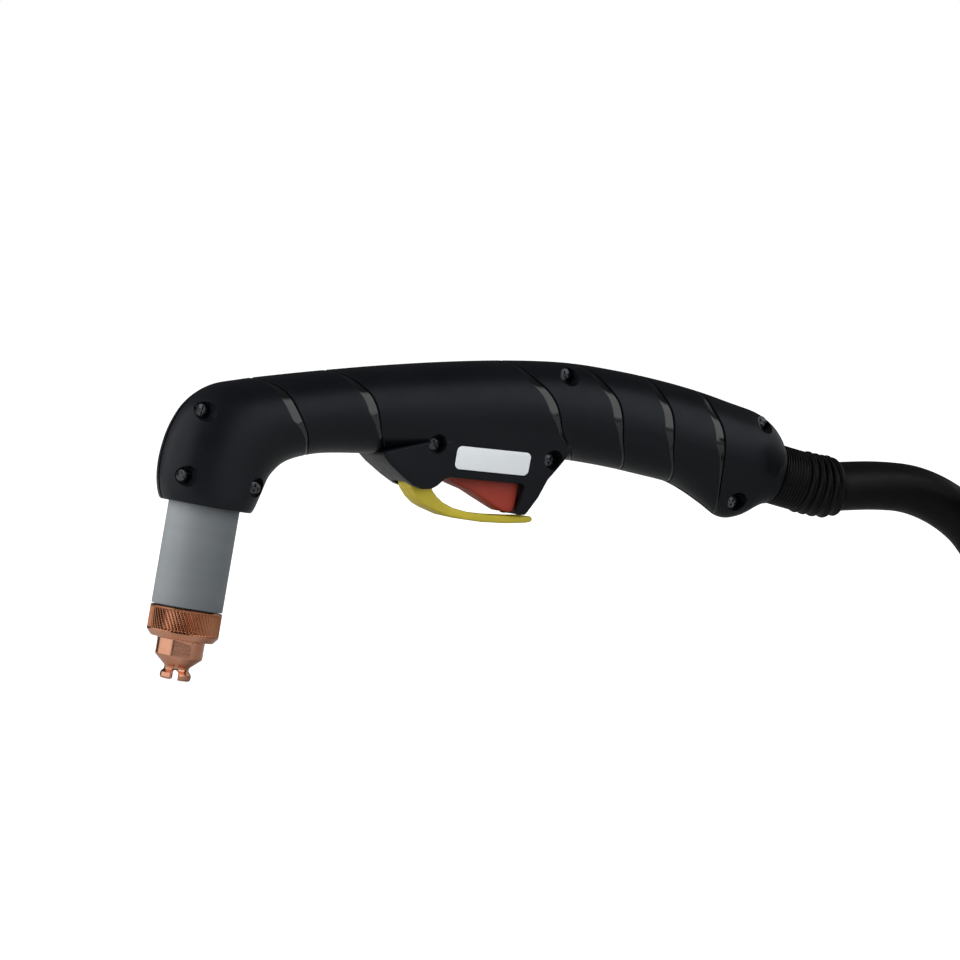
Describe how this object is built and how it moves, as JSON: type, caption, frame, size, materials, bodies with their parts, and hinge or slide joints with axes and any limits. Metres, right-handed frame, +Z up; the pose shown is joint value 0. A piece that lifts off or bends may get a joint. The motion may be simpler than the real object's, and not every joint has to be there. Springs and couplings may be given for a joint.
{
  "type": "hand plasma cutting torch",
  "caption": "Hand cutting torch: curved grip, angled copper nozzle end, red trigger with yellow safety lever, ribbed strain relief and lead folded into a tied hank with its connector.",
  "frame": {"origin": "under the middle of the torch without its lead, on the plate that the crown of the drag shield stands on", "axes": "+X along the grip from the nozzle end towards the lead, +Z up, -Y the left side with the screw heads and the label place"},
  "size_m": [0.6227, 0.1958, 0.1293],
  "materials": {
    "shell": "fine-textured black moulding",
    "screw": "zinc plated",
    "label": "satin, blank",
    "copper": "machined copper, knurled",
    "cap": "grey, faintly streaked along its length",
    "brass": "turned",
    "ceramic": "insulating ring",
    "insulator": "smooth moulding",
    "seal": "smooth",
    "trigger_red": "satin",
    "lever_yellow": "satin",
    "steel": "bright",
    "switch": "moulded",
    "wire_red": "wire sleeve",
    "wire_blue": "wire sleeve",
    "wire_white": "wire sleeve",
    "boot": "matte moulding",
    "jacket": "matte jacket",
    "strap": "woven strap",
    "connector": "moulded",
    "ring": "knurled, anodised"
  },
  "bodies": {
    "torch": {"handle_shell_left": "shell", "handle_shell_right": "shell", "shell_screw_1": "screw", "shell_screw_2": "screw", "shell_screw_3": "screw", "shell_screw_4": "screw", "shell_screw_5": "screw", "shell_screw_6": "screw", "shell_screw_7": "screw", "shell_screw_8": "screw", "label_plate": "label", "nozzle": "copper", "swirl_ring": "ceramic", "electrode": "copper", "torch_head": "brass", "head_seal_ring": "seal", "head_insulator": "insulator", "trigger_pin": "steel", "lever_pin": "steel", "trigger_spring": "steel", "lever_spring": "steel", "micro_switch": "switch", "switch_wire_1": "wire_red", "switch_wire_2": "wire_blue", "gas_power_tube": "copper", "lead_ferrule": "brass", "lead_in_handle": "jacket", "pilot_wire": "wire_white", "strain_relief": "boot", "lead": "jacket", "lead_hank": "jacket", "lead_tail": "jacket", "hank_tie_far": "strap", "hank_tie_near": "strap", "connector_boot": "boot", "connector_body": "connector", "power_pin": "brass", "signal_pin_1": "brass", "signal_pin_2": "brass"},
    "trigger": {"trigger": "trigger_red"},
    "switch_plunger": {"switch_plunger": "wire_red"},
    "safety_lever": {"safety_lever": "lever_yellow"},
    "retaining_cap": {"retaining_cap": "cap"},
    "drag_shield": {"drag_shield": "copper"},
    "connector_ring": {"connector_ring": "ring"}
  },
  "joints": [
    {"name": "trigger_press", "type": "hinge", "parent": "torch", "child": "trigger", "pos_m": [-0.0224, 0, 0.0762], "axis": [0, -1, 0], "range_deg": [0, 9], "stiffness_Nm_per_rad": 0.6, "springref_deg": -5.73, "deforming": ["trigger_spring"]},
    {"name": "plunger_push", "type": "slide", "parent": "torch", "child": "switch_plunger", "axis": [0, 0, 1], "range_m": [0, 0.0014]},
    {"name": "lever_lift", "type": "hinge", "parent": "torch", "child": "safety_lever", "pos_m": [-0.0344, 0, 0.0726], "axis": [0, 1, 0], "range_deg": [0, 50], "stiffness_Nm_per_rad": 0.05, "springref_deg": -17.19},
    {"name": "cap_unscrew", "type": "hinge", "parent": "torch", "child": "retaining_cap", "pos_m": [-0.1285, 0, 0.00092], "axis": [-0.1805, 0, -0.9836], "range_deg": [0, 360]},
    {"name": "shield_unscrew", "type": "hinge", "parent": "retaining_cap", "child": "drag_shield", "pos_m": [-0.1285, 0, 0.00092], "axis": [-0.1805, 0, -0.9836], "range_deg": [0, 360]},
    {"name": "ring_turn", "type": "hinge", "parent": "torch", "child": "connector_ring", "pos_m": [0.382, -0.027, 0.10428], "axis": [1, 0, 0], "continuous": true}
  ],
  "couplings": [
    {"joint": "plunger_push", "follows": "trigger_press", "m_per_rad": 0.008}
  ]
}
